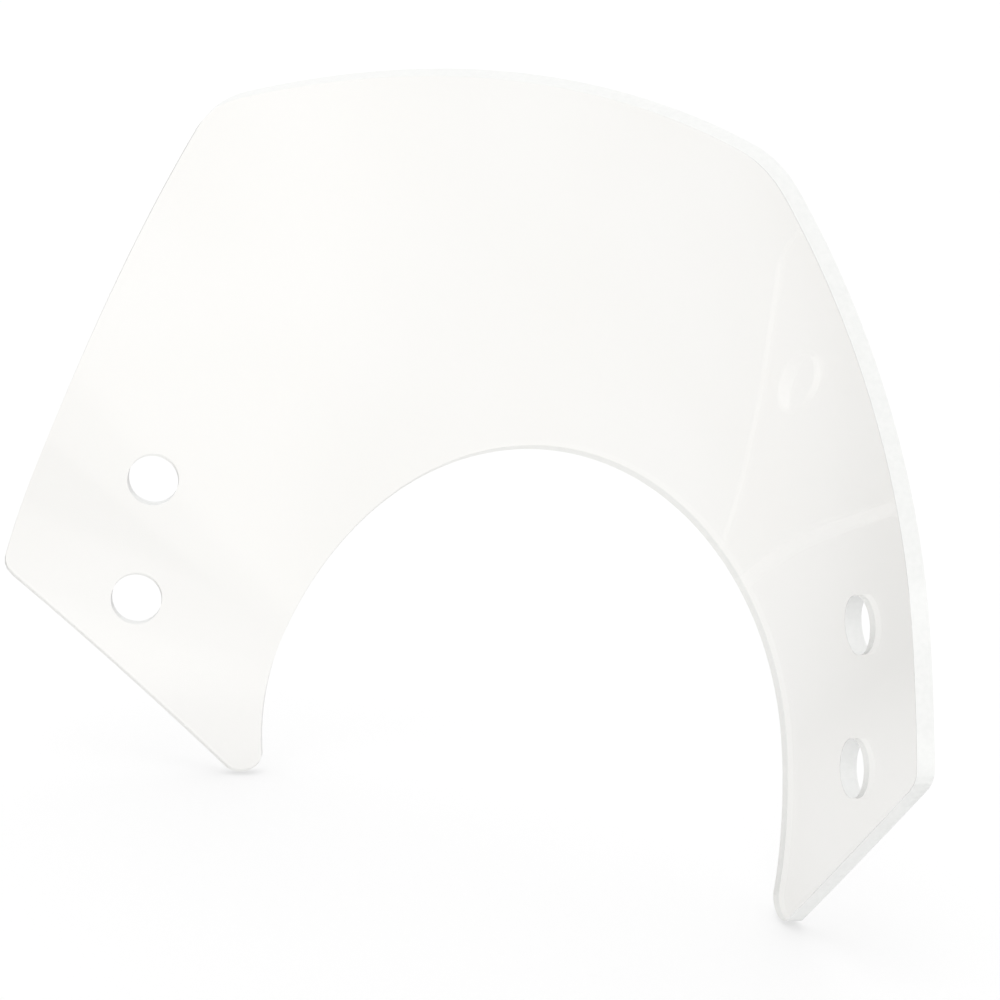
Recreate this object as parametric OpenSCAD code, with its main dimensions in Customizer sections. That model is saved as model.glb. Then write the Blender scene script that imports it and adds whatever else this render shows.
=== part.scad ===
// Headlight cowl: one clear plastic sheet, moulded to a double curve and trimmed round.
// The sheet wraps tightly round the headlight below and opens out towards its top edge.
// It stands over a round headlight, which fills the arch, and four rubber-lined
// fasteners hold it by the holes in its two wings.
// Frame: +X to the side, -Y to the front (the bulged face), +Z up, tips at Z = 0.

/* [Moulded sheet] */
// Thickness of the sheet
sheet_t = 4; // [3:0.5:6]
// Height of the middle of the sheet's centre line, where the next five sizes are taken
middle_h = 121; // [110:1:130]
// Radius of the mould there, square to the mould's own axis
mould_r = 115.5; // [105:0.5:130]
// Angle between the mould's wall and its axis, as the mould opens out upwards
flare = 47; // [40:1:52]
// Radius to which that wall bulges from bottom to top
bulge_r = 985; // [700:5:2000]
// Angle by which the sheet's centre line leans back
lean_angle = 15; // [8:1:20]
// Turn round the mould's axis past which each wing runs straight on
wing_turn = 65; // [55:1:75]

/* [Outline, seen from the front] */
// Height of the top edge on the centre line
top_h = 185.5; // [175:0.5:200]
// Radius of the top edge
top_r = 280; // [220:5:600]
// Half width at the shoulders, where the top edge would meet the side edge
shoulder_w = 78.5; // [72:0.5:85]
// Radius that rounds each shoulder
shoulder_r = 23; // [10:1:28]
// Radius of the side edge, which bulges outwards
side_r = 275; // [200:5:900]
// Half width at the widest corners
corner_w = 132.5; // [126:0.5:138]
// Height of the widest corners
corner_h = 54; // [49:0.5:60]
// Radius that rounds each widest corner
corner_r = 6; // [3:0.5:12]
// Radius of each tip
tip_r = 4.25; // [3.5:0.25:6]

/* [Arch for the headlight] */
// Radius of the arch
arch_r = 78; // [73:0.5:80]
// Height of the arch's centre
arch_h = 13.5; // [9:0.5:18]
// Angle below level, about the arch's centre, at which the arch ends in the tips
arch_angle = 6.75; // [4:0.25:12]

/* [Fastener holes] */
// Diameter of each hole
hole_d = 13; // [8:0.5:16]
// Distance of the lower holes from the centre plane
hole_w = 105.5; // [100:0.5:110]
// Height of the lower holes
hole_h = 45; // [42:0.5:50]
// Distance between the two holes of a wing, along the height
hole_gap = 31; // [25:0.5:40]
// How much nearer to the centre plane the upper holes are
hole_step = 2.5; // [0:0.5:6]

/* [Hidden] */
$fn = 180;

// Steps along each stretch of half the outline, from a tip to the centre line
TIP_STEPS = 4;
LOWER_STEPS = 6;
CORNER_STEPS = 6;
SIDE_STEPS = 12;
SHOULDER_STEPS = 7;
TOP_STEPS = 10;
ARCH_STEPS = LOWER_STEPS + CORNER_STEPS + SIDE_STEPS + SHOULDER_STEPS + TOP_STEPS;
// How far the trimming solid reaches past both faces of the sheet
trim_past = 8;
// Stretch of the mould's axis that the moulded sheet covers, and how far its wings run on
wall_from = -70;
wall_to = 90;
wing_l = corner_w;
// How far past the centre line the turned part of each half reaches, in degrees
half_overlap = 5;

// Directions and points in the front view are [x, z]
function heading(a) = [cos(a), sin(a)];
function angle_of(v) = atan2(v[1], v[0]);
function up_to_turn(a) = a < 0 ? a + 360 : a;
function across(v) = [-v[1], v[0]];

// Centre, on the side of the centre plane, of a circle of radius r through p and q
function centre_through(p, q, r) =
  let (half = norm(q - p) / 2, along = (q - p) / (2 * half))
  (p + q) / 2 + across(along) * sqrt(r * r - half * half);

// Outer meeting point of the circle (c, r) and the circle (k, s)
function meet_circles(c, r, k, s) =
  let (
    d = norm(k - c),
    along = (k - c) / d,
    a = (r * r - s * s + d * d) / (2 * d)
  )
  c + along * a + across(along) * sqrt(r * r - a * a);

// Meeting point, furthest along u, of the circle (c, r) and the line through p along u
function meet_line(c, r, p, u) =
  let (foot = p + u * ((c - p) * u))
  foot + u * sqrt(r * r - pow(norm(foot - c), 2));

// Points on the arc (c, r) from angle a to angle b, the first one left out
function arc(c, r, a, b, steps) =
  [for (i = [1:steps]) c + r * heading(a + (b - a) * i / steps)];

// Round stretches of half the outline, each one tangent to the next
top_c = [0, top_h - top_r];
arch_c = [0, arch_h];
shoulder = [shoulder_w, top_c[1] + sqrt(top_r * top_r - shoulder_w * shoulder_w)];
corner = [corner_w, corner_h];
side_c = centre_through(corner, shoulder, side_r);
tip_c = arch_c + (arch_r + tip_r) * heading(-arch_angle);
lower_angle = angle_of(corner - tip_c) + asin(tip_r / norm(corner - tip_c));
lower_u = heading(lower_angle);
lower_n = -across(lower_u);

shoulder_c = meet_circles(side_c, side_r - shoulder_r, top_c, top_r - shoulder_r);
corner_c = meet_line(side_c, side_r - corner_r, corner - lower_n * corner_r, lower_u);

// Angles at which those stretches meet
tip_start = up_to_turn(angle_of(arch_c - tip_c));
tip_end = 360 + angle_of(lower_n);
tip_middle = (tip_start + tip_end) / 2;
corner_end = angle_of(corner_c - side_c);
side_end = angle_of(shoulder_c - side_c);
shoulder_end = angle_of(shoulder_c - top_c);

lower_from = tip_c + lower_n * tip_r;
lower_to = corner_c + lower_n * corner_r;

// Half the outer edge and half the arch, both from the tip to the centre line
outer_half = concat(
  [tip_c + tip_r * heading(tip_middle)],
  arc(tip_c, tip_r, tip_middle, tip_end, TIP_STEPS),
  [for (i = [1:LOWER_STEPS]) lower_from + (lower_to - lower_from) * i / LOWER_STEPS],
  arc(corner_c, corner_r, angle_of(lower_n), corner_end, CORNER_STEPS),
  arc(side_c, side_r, corner_end, side_end, SIDE_STEPS),
  arc(shoulder_c, shoulder_r, side_end, shoulder_end, SHOULDER_STEPS),
  arc(top_c, top_r, shoulder_end, 90, TOP_STEPS)
);
arch_half = concat(
  [tip_c + tip_r * heading(tip_middle - (tip_end - tip_start) / (2 * TIP_STEPS + 1))],
  arc(tip_c, tip_r, tip_middle, tip_start, TIP_STEPS),
  arc(arch_c, arch_r, -arch_angle, 90, ARCH_STEPS)
);

// The whole edge: the half, then its mirror image from the centre line back down
function mirrored(half) =
  let (last = len(half) - 1)
  concat(half, [for (i = [1:last]) [-half[last - i][0], half[last - i][1]]]);

// The mould is a leaning, bulged cone. In its own frame its axis is upright, and the middle
// of the sheet's centre line is the origin, in front of the axis.
mould_lean = flare + lean_angle;
arc_r = mould_r - bulge_r * cos(flare);
arc_z = bulge_r * sin(flare);

function to_mould(q) = [
  q[0],
  q[1] * cos(mould_lean) - (q[2] - middle_h) * sin(mould_lean),
  q[1] * sin(mould_lean) + (q[2] - middle_h) * cos(mould_lean)
];
function from_mould(v) = [
  v[0],
  v[1] * cos(mould_lean) + v[2] * sin(mould_lean),
  v[2] * cos(mould_lean) - v[1] * sin(mould_lean)
];

// Radius of the mould, and how far its wall tilts outwards, at the height z along its axis
function wall_r(z) = arc_r + sqrt(bulge_r * bulge_r - pow(z - arc_z, 2));
function wall_tilt(z) = asin((arc_z - z) / bulge_r);
// Turn round the axis of the sheet's stretch that holds the point m of the mould's frame
function turn(m) = min(atan2(abs(m[0]), mould_r - m[1]), wing_turn);
// How far m lies outside the inner face
function outside(m) =
  let (t = turn(m))
  abs(m[0]) * sin(t) + (mould_r - m[1]) * cos(t) - wall_r(m[2]);

// The point of the inner face behind the point p of the front view, found in a few steps
FACE_STEPS = 8;
function inner_face(p, y = 0, step = FACE_STEPS) =
  step == 0 ? [p[0], y, p[1]]
  : let (
      m = to_mould([p[0], y, p[1]]),
      slope = cos(turn(m)) * cos(mould_lean) + tan(wall_tilt(m[2])) * sin(mould_lean)
    )
    inner_face(p, y + outside(m) / slope, step - 1);

// Direction square to the sheet, outwards, at the point q of its inner face
function outward(q) =
  let (m = to_mould(q), t = turn(m), b = wall_tilt(m[2]))
  from_mould([sign(q[0]) * sin(t) * cos(b), -cos(t) * cos(b), -sin(b)]);
function on_sheet(p, depth) =
  let (q = inner_face(p))
  q + depth * outward(q);

// The part's own frame: centred from front to back, with the tips' lowest point at Z = 0
edge_points = [for (p = concat(mirrored(outer_half), mirrored(arch_half)), d = [0, sheet_t]) on_sheet(p, d)];
front_y = min([for (p = edge_points) p[1]]);
back_y = max([for (p = edge_points) p[1]]);
base_z = min([for (p = edge_points) p[2]]);

// Section of the sheet's wall, with the mould's axis at x = 0
module wall_section() {
  intersection() {
    difference() {
      translate([arc_r, arc_z]) circle(r = bulge_r + sheet_t);
      translate([arc_r, arc_z]) circle(r = bulge_r);
    }
    translate([0, wall_from]) square([2 * mould_r, wall_to - wall_from]);
  }
}

// Moulded sheet before it is trimmed: two halves that overlap on the centre line, each one
// turned from the start of its wing, which runs straight on
module moulded_sheet() {
  translate([0, 0, middle_h])
    rotate([-mould_lean, 0, 0])
      translate([0, mould_r, 0])
        for (side = [0, 1])
          mirror([side, 0, 0])
            rotate([0, 0, wing_turn - 90]) {
              rotate_extrude(angle = -wing_turn - half_overlap) wall_section();
              rotate([90, 0, 0]) translate([0, 0, -wing_l]) linear_extrude(wing_l) wall_section();
            }
}

// Solid that keeps what lies between the arch and the outer edge, cut square to the sheet
module trim() {
  outer = mirrored(outer_half);
  arch = mirrored(arch_half);
  n = len(outer);
  ring = [
    for (i = [0:n - 1])
      each [
        on_sheet(arch[i], -trim_past),
        on_sheet(outer[i], -trim_past),
        on_sheet(outer[i], sheet_t + trim_past),
        on_sheet(arch[i], sheet_t + trim_past)
      ]
  ];
  sides = [
    for (i = [0:n - 2], k = [0:3])
      let (a = 4 * i + k, b = 4 * i + (k + 1) % 4)
      each [[a, b, b + 4], [a, b + 4, a + 4]]
  ];
  last = 4 * (n - 1);
  polyhedron(ring, concat(sides, [[3, 2, 1, 0], [last, last + 1, last + 2, last + 3]]));
}

// One fastener hole, square to the sheet at the point p of the front view
module hole(p) {
  n = outward(inner_face(p));
  translate(on_sheet(p, -trim_past))
    rotate([0, acos(n[2]), atan2(n[1], n[0])])
      cylinder(d = hole_d, h = sheet_t + 2 * trim_past);
}

module cowl() {
  color([0.95, 0.97, 0.97], 0.5)
    translate([0, -(front_y + back_y) / 2, -base_z])
      difference() {
        intersection() {
          moulded_sheet();
          trim();
        }
        for (side = [-1, 1]) {
          hole([side * hole_w, hole_h]);
          hole([side * (hole_w - hole_step), hole_h + hole_gap]);
        }
      }
}

cowl();
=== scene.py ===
import math

import bpy
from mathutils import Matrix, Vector


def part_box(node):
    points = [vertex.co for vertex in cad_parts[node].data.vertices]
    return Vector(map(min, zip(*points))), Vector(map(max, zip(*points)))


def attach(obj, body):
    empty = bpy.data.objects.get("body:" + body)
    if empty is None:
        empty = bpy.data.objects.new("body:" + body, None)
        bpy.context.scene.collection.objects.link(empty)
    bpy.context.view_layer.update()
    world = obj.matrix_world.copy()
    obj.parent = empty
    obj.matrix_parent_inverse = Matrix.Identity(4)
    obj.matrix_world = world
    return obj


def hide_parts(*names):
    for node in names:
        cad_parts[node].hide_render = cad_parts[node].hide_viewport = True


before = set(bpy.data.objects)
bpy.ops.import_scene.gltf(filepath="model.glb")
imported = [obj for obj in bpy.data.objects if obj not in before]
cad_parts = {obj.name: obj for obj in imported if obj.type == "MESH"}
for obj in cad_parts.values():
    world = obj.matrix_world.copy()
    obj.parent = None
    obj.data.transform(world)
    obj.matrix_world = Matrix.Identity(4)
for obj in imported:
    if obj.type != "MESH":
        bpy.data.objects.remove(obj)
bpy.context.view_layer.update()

# Camera: its direction from the cowl, its distance and its lens
CAMERA_TURN = math.radians(36.15)
CAMERA_RISE = math.radians(15.34)
CAMERA_DISTANCE = 0.7241
CAMERA_LENS = 109.5
AIM = Vector((0.00028, -0.00225, 0.08618))

# Moulded sheet: its thickness, and the leaning, bulged cone that it is moulded over
SHEET_T = 0.004
MIDDLE_H = 0.121
MOULD_R = 0.1155
FLARE = math.radians(47)
BULGE_R = 0.985
MOULD_LEAN = FLARE + math.radians(15)
WING_TURN = math.radians(65)
FACE_STEPS = 8

# Outline, seen from the front
TOP_H = 0.1855
TOP_R = 0.28
SHOULDER_W = 0.0785
SHOULDER_R = 0.023
SIDE_R = 0.275
CORNER_W = 0.1325
CORNER_H = 0.054
CORNER_R = 0.006
TIP_R = 0.00425
ARCH_R = 0.078
ARCH_H = 0.0135
ARCH_ANGLE = math.radians(6.75)

# Fastener holes, as their distance from the centre plane and their height
HOLE_R = 0.0065
HOLES = [(side * w, h) for side in (-1, 1) for w, h in ((0.1055, 0.045), (0.103, 0.076))]

# Mesh of the sheet: columns from tip to tip, rows from the arch to the outer edge
COLUMNS = 320
ROWS = 40
# Width of the two outermost rows, as a share of the band
END_ROW = 0.035
# Share of the half band over which the columns bend into a tip's round end
TIP_BLEND = 0.09
# Rings of faces round each hole: radius, and how evenly its corners are spaced
RINGS = ((0.009, 0.6), (0.0078, 0.9), (HOLE_R, 1))
RING_INSET = 0.0005
RING_STEPS = 3
# Eased edges: their width, and the angle from which an edge is eased
EDGE_BEVEL = 0.00025
EDGE_BEVEL_STEPS = 2
EDGE_ANGLE = math.radians(60)
SMOOTH_ANGLE = math.radians(20)

# Clear faces: waves from moulding, wipe marks, and the share of light that passes them
SHEET_INDEX = 1.49
SHEET_TINTS = ((0.962, 0.954, 0.93), (0.972, 0.965, 0.945))
WAVE_SIZE = 0.05
WAVE_HEIGHT = 0.00005
WIPE_SIZE = 0.006
WIPE_ROUGHNESS = (0.008, 0.022)
SHEET_PASSES = 0.92

# Cut faces: the router's marks, how clear they are, and the share of light that passes them
EDGE_TINTS = ((0.908, 0.914, 0.9), (0.934, 0.938, 0.924))
MARK_SIZE = 0.0012
MARK_HEIGHT = 0.00002
MARK_ROUGHNESS = (0.34, 0.5)
EDGE_CLEARNESS = 0.08
EDGE_PASSES = 0.6
# Part of a pattern's range over which a finish goes from one value to the other
PATTERN_RANGE = (0.35, 0.65)

# Floor: paint that takes the shadow, and a glow that brings it up to white
FLOOR_SIZE = 6.0
FLOOR_DROP = 0.0005
FLOOR_PAINT = 0.6
FLOOR_ROUGHNESS = 0.7
FLOOR_GLOW = 0.35
# Light: a room at which a colour renders as written, and where the lamp stands
ROOM_LEVEL = 1
LAMP_LEVEL = 0.3
LAMP_SOFTNESS = math.radians(20)
LAMP_FROM = Vector((-0.2, 0.35, 0.9))
# Painted pool of light on the floor, an emission that only mirrored rays see, which the sheet shows
# as a painted reflection: its place, and its level by distance
PAINTED_POOL_AT = (0.05, 0.28, 0)
PAINTED_LIGHT_POOL = ((0.09, 0.95), (0.16, 0.65), (0.28, 0.55), (0.36, 0.25))


def deselect_all():
    for thing in bpy.context.selected_objects:
        thing.select_set(False)


def make_camera():
    """Stands the camera behind the cowl, above its nearer wing."""
    away = Vector((
        -math.sin(CAMERA_TURN) * math.cos(CAMERA_RISE),
        math.cos(CAMERA_TURN) * math.cos(CAMERA_RISE),
        math.sin(CAMERA_RISE),
    ))
    data = bpy.data.cameras.new("camera")
    data.lens = CAMERA_LENS
    data.clip_end = 20
    camera = bpy.data.objects.new("camera", data)
    bpy.context.scene.collection.objects.link(camera)
    camera.location = AIM + CAMERA_DISTANCE * away
    camera.rotation_euler = (-away).to_track_quat("-Z", "Y").to_euler()
    bpy.context.scene.camera = camera


# Outline: points and directions in the front view are (x, z)
def heading(angle):
    return Vector((math.cos(angle), math.sin(angle)))


def angle_of(v):
    return math.atan2(v[1], v[0])


def across(v):
    return Vector((-v[1], v[0]))


def meet_circles(c, r, k, s):
    """Outer meeting point of the circle (c, r) and the circle (k, s)."""
    d = (k - c).length
    along = (k - c) / d
    a = (r * r - s * s + d * d) / (2 * d)
    return c + along * a + across(along) * math.sqrt(r * r - a * a)


def meet_line(c, r, p, u):
    """Meeting point, furthest along u, of the circle (c, r) and the line through p."""
    foot = p + u * (c - p).dot(u)
    return foot + u * math.sqrt(r * r - (foot - c).length_squared)


ARCH_C = Vector((0, ARCH_H))
TIP_C = ARCH_C + (ARCH_R + TIP_R) * heading(-ARCH_ANGLE)
TOP_C = Vector((0, TOP_H - TOP_R))
CORNER = Vector((CORNER_W, CORNER_H))
SHOULDER = Vector((SHOULDER_W, TOP_C[1] + math.sqrt(TOP_R ** 2 - SHOULDER_W ** 2)))


def outer_stretches():
    """The side's outer edge as arcs, each with the ray from the arch's centre that ends it."""
    half = (SHOULDER - CORNER) / 2
    side_c = CORNER + half + across(half.normalized()) * math.sqrt(SIDE_R ** 2 - half.length_squared)
    lower_angle = angle_of(CORNER - TIP_C) + math.asin(TIP_R / (CORNER - TIP_C).length)
    lower_u = heading(lower_angle)
    lower_n = -across(lower_u)
    shoulder_c = meet_circles(side_c, SIDE_R - SHOULDER_R, TOP_C, TOP_R - SHOULDER_R)
    corner_c = meet_line(side_c, SIDE_R - CORNER_R, CORNER - lower_n * CORNER_R, lower_u)
    ends = [
        corner_c + lower_n * CORNER_R,
        side_c + (corner_c - side_c).normalized() * SIDE_R,
        side_c + (shoulder_c - side_c).normalized() * SIDE_R,
        TOP_C + (shoulder_c - TOP_C).normalized() * TOP_R,
        ARCH_C + heading(math.radians(91)),
    ]
    circles = [None, (corner_c, CORNER_R), (side_c, SIDE_R), (shoulder_c, SHOULDER_R), (TOP_C, TOP_R)]
    lower_from = TIP_C + lower_n * TIP_R
    stretches = [(angle_of(end - ARCH_C), circle) for end, circle in zip(ends, circles)]
    return lower_from, lower_n, stretches


LOWER_FROM, LOWER_N, STRETCHES = outer_stretches()
TIP_VIEW = -angle_of(LOWER_FROM - ARCH_C)


def outer_point(angle):
    """Point of the outer edge that the ray at this angle from the arch's centre meets."""
    ray = heading(angle)
    for end, circle in STRETCHES:
        if angle <= end:
            break
    if circle is None:
        return ARCH_C + ray * ((LOWER_FROM - ARCH_C).dot(LOWER_N) / ray.dot(LOWER_N))
    return meet_line(circle[0], circle[1], ARCH_C, ray)


def tip_swell(across_band):
    """How far the round end of a tip stands out from its own chord."""
    start = math.pi - ARCH_ANGLE
    end = 2 * math.pi + angle_of(LOWER_N)
    low, high = TIP_C + TIP_R * heading(start), TIP_C + TIP_R * heading(end)
    return TIP_C + TIP_R * heading(start + (end - start) * across_band) - low.lerp(high, across_band)


def band_point(along, across_band):
    """Point of the front view, from tip to tip (0 to 1) and from arch to outer edge (0 to 1)."""
    side = -1 if along < 0.5 else 1
    share = abs(2 * along - 1)
    inner = ARCH_C + ARCH_R * heading(math.pi / 2 - share * (math.pi / 2 + ARCH_ANGLE))
    outer = outer_point(math.pi / 2 - share * (math.pi / 2 + TIP_VIEW))
    point = inner.lerp(outer, across_band)
    blend = max(0, 1 - (1 - share) / TIP_BLEND) ** 2
    if blend:
        point += blend * tip_swell(across_band)
    return side * point[0], point[1]


# Mould: in its own frame the cone's axis is upright, and the sheet's middle is the origin
def to_mould(p):
    c, s = math.cos(MOULD_LEAN), math.sin(MOULD_LEAN)
    z = p[2] - MIDDLE_H
    return Vector((p[0], p[1] * c - z * s, p[1] * s + z * c))


def from_mould(v):
    c, s = math.cos(MOULD_LEAN), math.sin(MOULD_LEAN)
    return Vector((v[0], v[1] * c + v[2] * s, v[2] * c - v[1] * s))


def wall(z):
    """Radius of the mould at the height z along its axis, and how far its wall tilts outwards."""
    drop = BULGE_R * math.sin(FLARE) - z
    radius = MOULD_R - BULGE_R * math.cos(FLARE) + math.sqrt(BULGE_R ** 2 - drop ** 2)
    return radius, math.asin(drop / BULGE_R)


def turn(m):
    return min(math.atan2(abs(m[0]), MOULD_R - m[1]), WING_TURN)


def inner_face(x, z):
    """Point of the sheet's inner face behind a point of the front view."""
    y = 0
    for _ in range(FACE_STEPS):
        m = to_mould((x, y, z))
        t = turn(m)
        radius, tilt = wall(m[2])
        outside = abs(m[0]) * math.sin(t) + (MOULD_R - m[1]) * math.cos(t) - radius
        y += outside / (math.cos(t) * math.cos(MOULD_LEAN) + math.tan(tilt) * math.sin(MOULD_LEAN))
    return Vector((x, y, z))


def outward(q):
    m = to_mould(q)
    t, tilt = turn(m), wall(m[2])[1]
    return from_mould((
        math.copysign(math.sin(t), q[0]) * math.cos(tilt),
        -math.cos(t) * math.cos(tilt),
        -math.sin(tilt),
    ))


def select_faces(sheet, chosen):
    """Opens the sheet in edit mode, with faces selected by their place."""
    bpy.context.view_layer.objects.active = sheet
    bpy.ops.object.mode_set(mode="EDIT")
    bpy.ops.mesh.select_mode(type="FACE")
    bpy.ops.mesh.select_all(action="DESELECT")
    bpy.ops.object.mode_set(mode="OBJECT")
    for face in sheet.data.polygons:
        face.select = chosen(face.center)
    bpy.ops.object.mode_set(mode="EDIT")


def round_off(sheet, centre, axis, radius, evenness):
    """Lays the selected face's corners on a circle round a hole's axis, more or less evenly."""
    bpy.ops.object.mode_set(mode="OBJECT")
    face = next(f for f in sheet.data.polygons if f.select)
    corners = [sheet.data.vertices[i] for i in face.vertices]
    level = axis.cross(Vector((0, 0, 1))).normalized()
    rise = axis.cross(level)
    angles = [math.atan2((v.co - centre).dot(rise), (v.co - centre).dot(level)) for v in corners]
    step = math.copysign(2 * math.pi / len(corners), math.sin(angles[1] - angles[0]))
    drift_s = sum(math.sin(a - i * step) for i, a in enumerate(angles))
    drift_c = sum(math.cos(a - i * step) for i, a in enumerate(angles))
    start = math.atan2(drift_s, drift_c)
    for i, corner in enumerate(corners):
        a = start + i * step
        a += (1 - evenness) * math.remainder(angles[i] - a, 2 * math.pi)
        flat = centre + radius * (math.cos(a) * level + math.sin(a) * rise)
        point = flat
        for _ in range(RING_STEPS):
            point = flat + axis * (inner_face(point.x, point.z) - flat).dot(axis)
        corner.co = point
    bpy.ops.object.mode_set(mode="EDIT")


def cut_hole(sheet, x, z):
    """Cuts a round hole, with even rings of faces round it."""
    centre = inner_face(x, z)
    axis = outward(centre)
    select_faces(sheet, lambda c: (c - centre).length < RINGS[0][0])
    bpy.ops.mesh.dissolve_faces()
    round_off(sheet, centre, axis, *RINGS[0])
    for ring in RINGS[1:]:
        bpy.ops.mesh.inset(thickness=RING_INSET)
        round_off(sheet, centre, axis, *ring)
    bpy.ops.mesh.delete(type="FACE")
    bpy.ops.object.mode_set(mode="OBJECT")


def square_bore(sheet, x, z):
    """Moves a hole's outer rim straight out from its inner rim."""
    centre = inner_face(x, z)
    axis = outward(centre)
    for v in sheet.data.vertices:
        out = v.co - centre
        depth = out.dot(axis)
        beside = out - depth * axis
        if depth > SHEET_T / 2 and beside.length < (RINGS[1][0] + HOLE_R) / 2:
            v.co = centre + depth * axis + HOLE_R * beside.normalized()


def cowl_sheet():
    """The moulded sheet, trimmed square to its surface."""
    deselect_all()
    bpy.ops.mesh.primitive_grid_add(x_subdivisions=COLUMNS, y_subdivisions=ROWS, size=1)
    sheet = bpy.context.object
    sheet.name = "cowl_sheet"
    rows = sorted({round(v.co.y, 6) for v in sheet.data.vertices})
    for v in sheet.data.vertices:
        row = rows.index(round(v.co.y, 6))
        inside = END_ROW + (row - 1) / (ROWS - 2) * (1 - 2 * END_ROW)
        across_band = 0 if row == 0 else 1 if row == ROWS else inside
        v.co = inner_face(*band_point(v.co.x + 0.5, across_band))
    for x, z in HOLES:
        cut_hole(sheet, x, z)

    sheet.data.materials.append(clear_plastic())
    sheet.data.materials.append(cut_edge())
    thicken = sheet.modifiers.new("thickness", "SOLIDIFY")
    thicken.thickness = SHEET_T
    thicken.offset = 1
    thicken.use_even_offset = True
    thicken.material_offset_rim = 1
    bpy.ops.object.modifier_apply(modifier="thickness")
    for x, z in HOLES:
        square_bore(sheet, x, z)
    ease = sheet.modifiers.new("eased_edges", "BEVEL")
    ease.width = EDGE_BEVEL
    ease.segments = EDGE_BEVEL_STEPS
    ease.limit_method = "ANGLE"
    ease.angle_limit = EDGE_ANGLE
    bpy.ops.object.modifier_apply(modifier="eased_edges")

    # From the outline's frame to the part's own
    low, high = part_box("cowl")
    points = [v.co for v in sheet.data.vertices]
    shift_y = (low[1] + high[1]) / 2 - (min(p.y for p in points) + max(p.y for p in points)) / 2
    shift_z = low[2] - min(p.z for p in points)
    for v in sheet.data.vertices:
        v.co += Vector((0, shift_y, shift_z))
    bpy.ops.object.shade_smooth_by_angle(angle=SMOOTH_ANGLE)
    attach(sheet, "root")
    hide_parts("cowl")


def new_material(name):
    material = bpy.data.materials.new(name)
    material.use_nodes = True
    nodes = material.node_tree.nodes
    return material, nodes, material.node_tree.links, nodes["Principled BSDF"]


def let_light_through(material, plastic, share):
    """Lets lamplight and scattered light through the plastic to what is behind it."""
    nodes, links = material.node_tree.nodes, material.node_tree.links
    clear = nodes.new("ShaderNodeBsdfTransparent")
    clear.inputs["Color"].default_value = (share, share, share, 1)
    path = nodes.new("ShaderNodeLightPath")
    seen = plastic.outputs[0]
    for kind in ("Is Shadow Ray", "Is Diffuse Ray"):
        mix = nodes.new("ShaderNodeMixShader")
        links.new(path.outputs[kind], mix.inputs[0])
        links.new(seen, mix.inputs[1])
        links.new(clear.outputs[0], mix.inputs[2])
        seen = mix.outputs[0]
    links.new(seen, nodes["Material Output"].inputs["Surface"])


def grain(nodes, links, size, detail):
    """Soft pattern through the piece, with features of about one size."""
    place = nodes.new("ShaderNodeTexCoord")
    noise = nodes.new("ShaderNodeTexNoise")
    noise.inputs["Scale"].default_value = 1 / size
    noise.inputs["Detail"].default_value = detail
    links.new(place.outputs["Object"], noise.inputs["Vector"])
    return noise.outputs["Fac"]


def vary(nodes, links, pattern, socket, values):
    """Moves a colour or roughness between two values with a pattern."""
    ramp = nodes.new("ShaderNodeValToRGB")
    for stop, at, value in zip(ramp.color_ramp.elements, PATTERN_RANGE, values):
        stop.position = at
        stop.color = (*value, 1)
    links.new(pattern, ramp.inputs["Fac"])
    links.new(ramp.outputs["Color"], socket)


def relief(nodes, links, pattern, plastic, height):
    """Raises a pattern from the surface."""
    bump = nodes.new("ShaderNodeBump")
    bump.inputs["Distance"].default_value = height
    links.new(pattern, bump.inputs["Height"])
    links.new(bump.outputs["Normal"], plastic.inputs["Normal"])


def clear_plastic():
    """Polished faces of the clear sheet, faintly wavy from moulding, with fine wipe marks."""
    material, nodes, links, plastic = new_material("clear_plastic")
    plastic.inputs["Transmission Weight"].default_value = 1
    plastic.inputs["IOR"].default_value = SHEET_INDEX
    waves = grain(nodes, links, WAVE_SIZE, 1)
    vary(nodes, links, waves, plastic.inputs["Base Color"], SHEET_TINTS)
    relief(nodes, links, waves, plastic, WAVE_HEIGHT)
    wiped = grain(nodes, links, WIPE_SIZE, 4)
    vary(nodes, links, wiped, plastic.inputs["Roughness"], [(r, r, r) for r in WIPE_ROUGHNESS])
    let_light_through(material, plastic, SHEET_PASSES)
    return material


def cut_edge():
    """Satin faces that the router leaves, round the outline and in the holes."""
    material, nodes, links, plastic = new_material("cut_edge")
    plastic.inputs["Transmission Weight"].default_value = EDGE_CLEARNESS
    plastic.inputs["IOR"].default_value = SHEET_INDEX
    marks = grain(nodes, links, MARK_SIZE, 3)
    vary(nodes, links, marks, plastic.inputs["Base Color"], EDGE_TINTS)
    vary(nodes, links, marks, plastic.inputs["Roughness"], [(r, r, r) for r in MARK_ROUGHNESS])
    relief(nodes, links, marks, plastic, MARK_HEIGHT)
    let_light_through(material, plastic, EDGE_PASSES)
    return material


def background_rays(nodes, links):
    """Light Path output: 1 for the rays that see the background, past or in the plastic."""
    path = nodes.new("ShaderNodeLightPath")
    seen = path.outputs["Is Camera Ray"]
    for kind in ("Is Glossy Ray", "Is Transmission Ray"):
        either = nodes.new("ShaderNodeMath")
        either.operation = "MAXIMUM"
        links.new(seen, either.inputs[0])
        links.new(path.outputs[kind], either.inputs[1])
        seen = either.outputs[0]
    return seen


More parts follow.
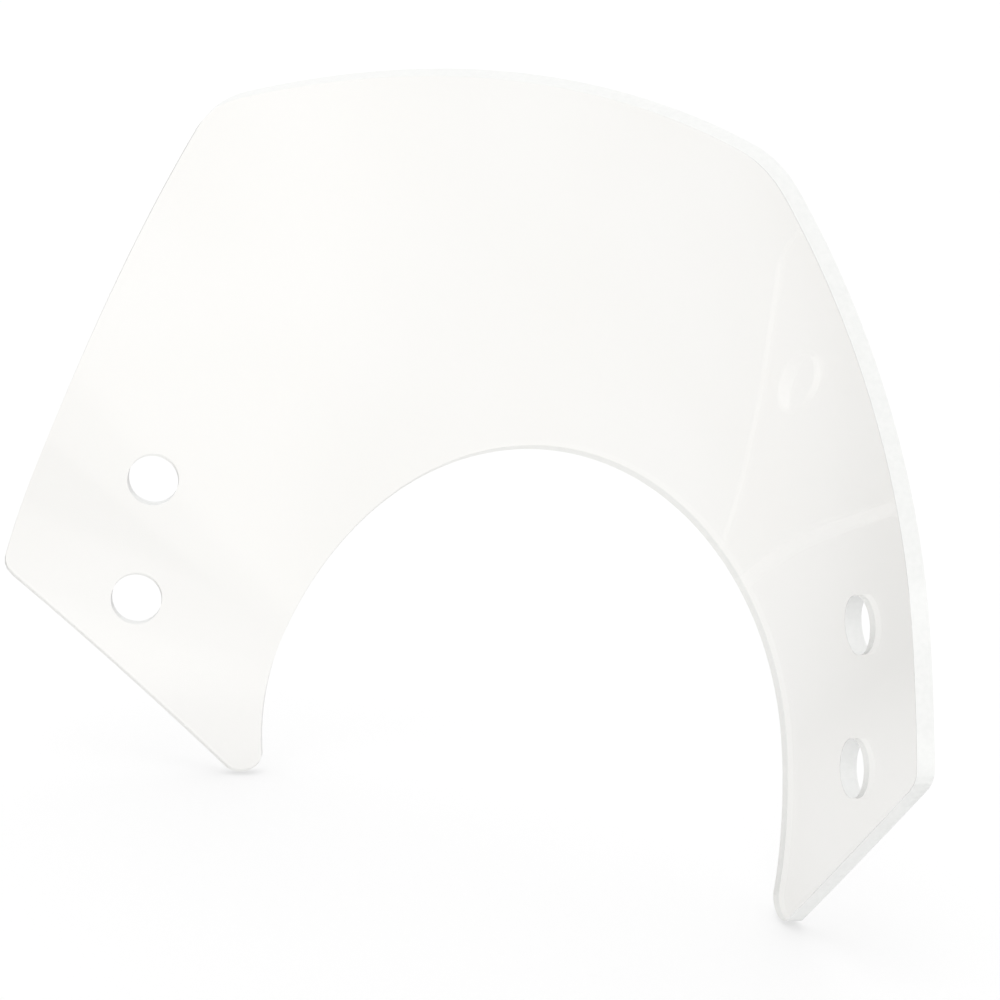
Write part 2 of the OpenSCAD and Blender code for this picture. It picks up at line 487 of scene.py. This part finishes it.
def white_floor():
    """Floor that looks white, takes the cowl's shadow, and gives the sheet's gloss a painted pool of
    light to reflect.
    """
    bpy.ops.mesh.primitive_plane_add(size=FLOOR_SIZE, location=(0, 0, -FLOOR_DROP))
    floor = bpy.context.object
    floor.name = "floor"
    material, nodes, links, paint = new_material("floor")
    paint.inputs["Base Color"].default_value = (FLOOR_PAINT, FLOOR_PAINT, FLOOR_PAINT, 1)
    paint.inputs["Roughness"].default_value = FLOOR_ROUGHNESS
    glow = nodes.new("ShaderNodeEmission")
    glow.inputs["Strength"].default_value = FLOOR_GLOW
    lit = nodes.new("ShaderNodeAddShader")
    links.new(paint.outputs[0], lit.inputs[0])
    links.new(glow.outputs[0], lit.inputs[1])

    # Painted reflection: an emitted pool of light, brighter near the cowl, that only rays mirrored by
    # the sheet see
    place = nodes.new("ShaderNodeTexCoord")
    distance = nodes.new("ShaderNodeVectorMath")
    distance.operation = "DISTANCE"
    distance.inputs[1].default_value = PAINTED_POOL_AT
    pool = nodes.new("ShaderNodeValToRGB")
    pool.color_ramp.interpolation = "EASE"
    for i, (at, level_there) in enumerate(PAINTED_LIGHT_POOL):
        stop = pool.color_ramp.elements[i] if i < 2 else pool.color_ramp.elements.new(at)
        stop.position = at
        stop.color = (level_there, level_there, level_there, 1)
    painted_reflection = nodes.new("ShaderNodeEmission")
    path = nodes.new("ShaderNodeLightPath")
    mix = nodes.new("ShaderNodeMixShader")
    links.new(place.outputs["Object"], distance.inputs[0])
    links.new(distance.outputs["Value"], pool.inputs["Fac"])
    links.new(pool.outputs["Color"], painted_reflection.inputs["Color"])
    links.new(path.outputs["Glossy Depth"], mix.inputs[0])
    links.new(lit.outputs[0], mix.inputs[1])
    links.new(painted_reflection.outputs[0], mix.inputs[2])
    links.new(mix.outputs[0], nodes["Material Output"].inputs["Surface"])
    floor.data.materials.append(material)


def light():
    """Even light all round, with a soft lamp above for the shadows."""
    world = bpy.data.worlds.new("studio")
    bpy.context.scene.world = world
    world.use_nodes = True
    nodes, links = world.node_tree.nodes, world.node_tree.links
    room = nodes["Background"]
    room.inputs["Color"].default_value = (ROOM_LEVEL, ROOM_LEVEL, ROOM_LEVEL, 1)
    white = nodes.new("ShaderNodeBackground")
    white.inputs["Color"].default_value = (1, 1, 1, 1)
    mix = nodes.new("ShaderNodeMixShader")
    links.new(background_rays(nodes, links), mix.inputs[0])
    links.new(room.outputs[0], mix.inputs[1])
    links.new(white.outputs[0], mix.inputs[2])
    links.new(mix.outputs[0], nodes["World Output"].inputs["Surface"])
    lamp = bpy.data.lights.new("overhead", "SUN")
    lamp.energy = LAMP_LEVEL
    lamp.angle = LAMP_SOFTNESS
    overhead = bpy.data.objects.new("overhead", lamp)
    bpy.context.scene.collection.objects.link(overhead)
    overhead.rotation_euler = LAMP_FROM.to_track_quat("Z", "Y").to_euler()


bpy.context.scene.view_settings.view_transform = "Standard"
make_camera()
cowl_sheet()
white_floor()
light()
